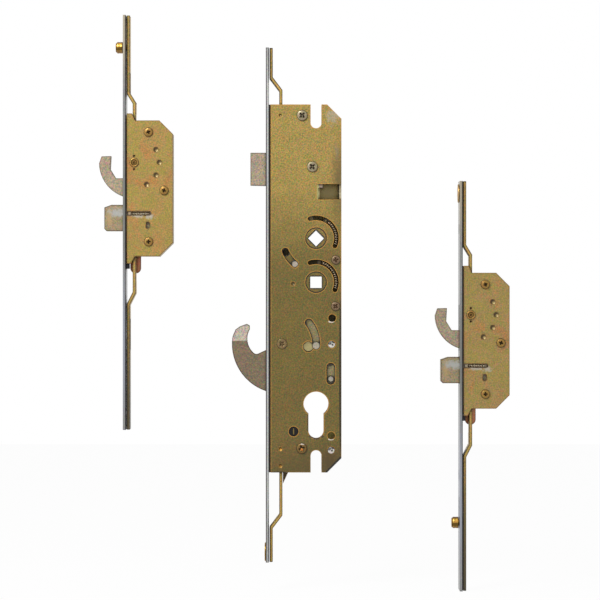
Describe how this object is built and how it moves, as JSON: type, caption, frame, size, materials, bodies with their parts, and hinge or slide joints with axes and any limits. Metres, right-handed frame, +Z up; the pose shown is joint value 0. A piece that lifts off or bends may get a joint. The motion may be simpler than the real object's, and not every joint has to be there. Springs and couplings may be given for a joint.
{
  "type": "multipoint door lock",
  "caption": "Multipoint door lock in separate lengths: a centre case with latch, hook, followers and cylinder hole, and bolt boxes with hook, deadbolt and roller, worked by drive bars.",
  "frame": {"origin": "on the axis of the cylinder hole, halfway through the case's thickness", "axes": "+X from the door's edge into the door, +Y through the door, +Z up the door"},
  "size_m": [0.2867, 0.0165, 0.4019],
  "materials": {
    "plated_plate": "yellow passivated zinc, olive gold",
    "box_plate": "yellow passivated zinc, pale gold",
    "drive_bar": "yellow passivated zinc, sheared edges",
    "strip_steel": "grey plated, brushed",
    "bolt_steel": "cast and plated, satin tan grey",
    "bright_steel": "bright zinc",
    "spring_steel": "drawn wire with grease",
    "copper_plate": "pink passivated zinc",
    "roller_brass": "turned brass",
    "black_steel": "black oxide",
    "black_plastic": "matt black"
  },
  "bodies": {
    "lock_frame": {"centre_faceplate": "strip_steel", "centre_case": "plated_plate", "centre_case_wall": "plated_plate", "centre_pillars": "bright_steel", "centre_cover": "plated_plate", "case_screws": "bright_steel", "lower_case_screw": "copper_plate", "case_rivets": "bright_steel", "slotted_screw": "black_steel", "strip_rivets": "roller_brass", "centre_hook_pivot": "bright_steel", "latch_spring": "spring_steel", "upper_follower_spring": "spring_steel", "lower_follower_spring": "spring_steel", "top_faceplate": "strip_steel", "top_case": "box_plate", "top_case_wall": "box_plate", "top_pillars": "bright_steel", "top_cover": "box_plate", "top_screws": "box_plate", "top_hook_pivot": "box_plate", "top_pad": "black_plastic", "bottom_faceplate": "strip_steel", "bottom_case": "box_plate", "bottom_case_wall": "box_plate", "bottom_pillars": "bright_steel", "bottom_cover": "box_plate", "bottom_screws": "box_plate", "bottom_hook_pivot": "box_plate", "bottom_pad": "black_plastic"},
    "centre_drive": {"centre_drive_slide": "copper_plate", "centre_upper_bar": "drive_bar", "centre_lower_bar": "drive_bar"},
    "centre_hook": {"centre_hook": "bolt_steel"},
    "hook_lever": {"hook_lever": "plated_plate", "hook_lever_pin": "bright_steel"},
    "latch": {"latch_bolt": "bolt_steel"},
    "upper_follower": {"upper_follower": "plated_plate", "follower_pin": "bright_steel"},
    "lower_follower": {"lower_follower": "plated_plate"},
    "deadlock": {"deadlock_slide": "plated_plate", "deadlock_pin": "bright_steel"},
    "top_drive": {"top_drive_slide": "copper_plate", "top_upper_bar": "drive_bar", "top_lower_bar": "drive_bar", "top_roller_stud": "roller_brass"},
    "top_hook": {"top_hook": "bolt_steel"},
    "top_deadbolt": {"top_deadbolt": "bolt_steel", "top_deadbolt_spring": "spring_steel"},
    "top_roller": {"top_roller": "roller_brass"},
    "bottom_drive": {"bottom_drive_slide": "copper_plate", "bottom_upper_bar": "drive_bar", "bottom_lower_bar": "drive_bar", "bottom_roller_stud": "roller_brass"},
    "bottom_hook": {"bottom_hook": "bolt_steel"},
    "bottom_deadbolt": {"bottom_deadbolt": "bolt_steel", "bottom_deadbolt_spring": "spring_steel"},
    "bottom_roller": {"bottom_roller": "roller_brass"}
  },
  "joints": [
    {"name": "drive_slide", "type": "slide", "parent": "lock_frame", "child": "centre_drive", "axis": [0, 0, 1], "range_m": [0, 0.016]},
    {"name": "centre_hook_swing", "type": "hinge", "parent": "lock_frame", "child": "centre_hook", "pos_m": [-0.0238, 0, 0.0421], "axis": [0, -1, 0], "range_deg": [0, 97.01]},
    {"name": "hook_lever_swing", "type": "hinge", "parent": "lock_frame", "child": "hook_lever", "pos_m": [-0.0238, 0, 0.0421], "axis": [0, -1, 0], "range_deg": [0, 41.12]},
    {"name": "lower_follower_turn", "type": "hinge", "parent": "lock_frame", "child": "lower_follower", "pos_m": [0, 0, 0.0851], "axis": [0, 1, 0], "range_deg": [0, 50.09], "deforming": ["lower_follower_spring"]},
    {"name": "latch_slide", "type": "slide", "parent": "lock_frame", "child": "latch", "axis": [1, 0, 0], "range_m": [0, 0.0109], "stiffness_N_per_m": 250, "springref_m": -0.012, "deforming": ["latch_spring"]},
    {"name": "upper_follower_turn", "type": "hinge", "parent": "lock_frame", "child": "upper_follower", "pos_m": [0, 0, 0.1158], "axis": [0, 1, 0], "range_deg": [0, 28.01], "deforming": ["upper_follower_spring"]},
    {"name": "deadlock_slide", "type": "slide", "parent": "lock_frame", "child": "deadlock", "axis": [0, 0, 1], "range_m": [0, 0.0085]},
    {"name": "top_drive_slide", "type": "slide", "parent": "lock_frame", "child": "top_drive", "axis": [0, 0, 1], "range_m": [0, 0.016]},
    {"name": "top_hook_swing", "type": "hinge", "parent": "lock_frame", "child": "top_hook", "pos_m": [-0.1269, 0, 0.16855], "axis": [0, -1, 0], "range_deg": [0, 87.01]},
    {"name": "top_deadbolt_slide", "type": "slide", "parent": "lock_frame", "child": "top_deadbolt", "axis": [1, 0, 0], "range_m": [0, 0.0131]},
    {"name": "top_roller_spin", "type": "hinge", "parent": "top_drive", "child": "top_roller", "pos_m": [-0.1377, 0, 0.24935], "axis": [1, 0, 0], "continuous": true},
    {"name": "bottom_drive_slide", "type": "slide", "parent": "lock_frame", "child": "bottom_drive", "axis": [0, 0, 1], "range_m": [0, 0.016]},
    {"name": "bottom_hook_swing", "type": "hinge", "parent": "lock_frame", "child": "bottom_hook", "pos_m": [0.108, 0, 0.0623], "axis": [0, -1, 0], "range_deg": [0, 87.01]},
    {"name": "bottom_deadbolt_slide", "type": "slide", "parent": "lock_frame", "child": "bottom_deadbolt", "axis": [1, 0, 0], "range_m": [0, 0.0131]},
    {"name": "bottom_roller_spin", "type": "hinge", "parent": "bottom_drive", "child": "bottom_roller", "pos_m": [0.0972, 0, -0.0831], "axis": [1, 0, 0], "continuous": true}
  ],
  "couplings": [
    {"joint": "centre_hook_swing", "follows": "drive_slide", "rad_per_m": 105.81},
    {"joint": "hook_lever_swing", "follows": "drive_slide", "rad_per_m": 44.84},
    {"joint": "lower_follower_turn", "follows": "drive_slide", "rad_per_m": 54.633},
    {"joint": "upper_follower_turn", "follows": "latch_slide", "rad_per_m": 44.834},
    {"joint": "top_drive_slide", "follows": "drive_slide", "ratio": 1},
    {"joint": "top_hook_swing", "follows": "drive_slide", "rad_per_m": 94.902},
    {"joint": "top_deadbolt_slide", "follows": "drive_slide", "ratio": 0.81875},
    {"joint": "bottom_drive_slide", "follows": "drive_slide", "ratio": 1},
    {"joint": "bottom_hook_swing", "follows": "drive_slide", "rad_per_m": 94.902},
    {"joint": "bottom_deadbolt_slide", "follows": "drive_slide", "ratio": 0.81875}
  ]
}
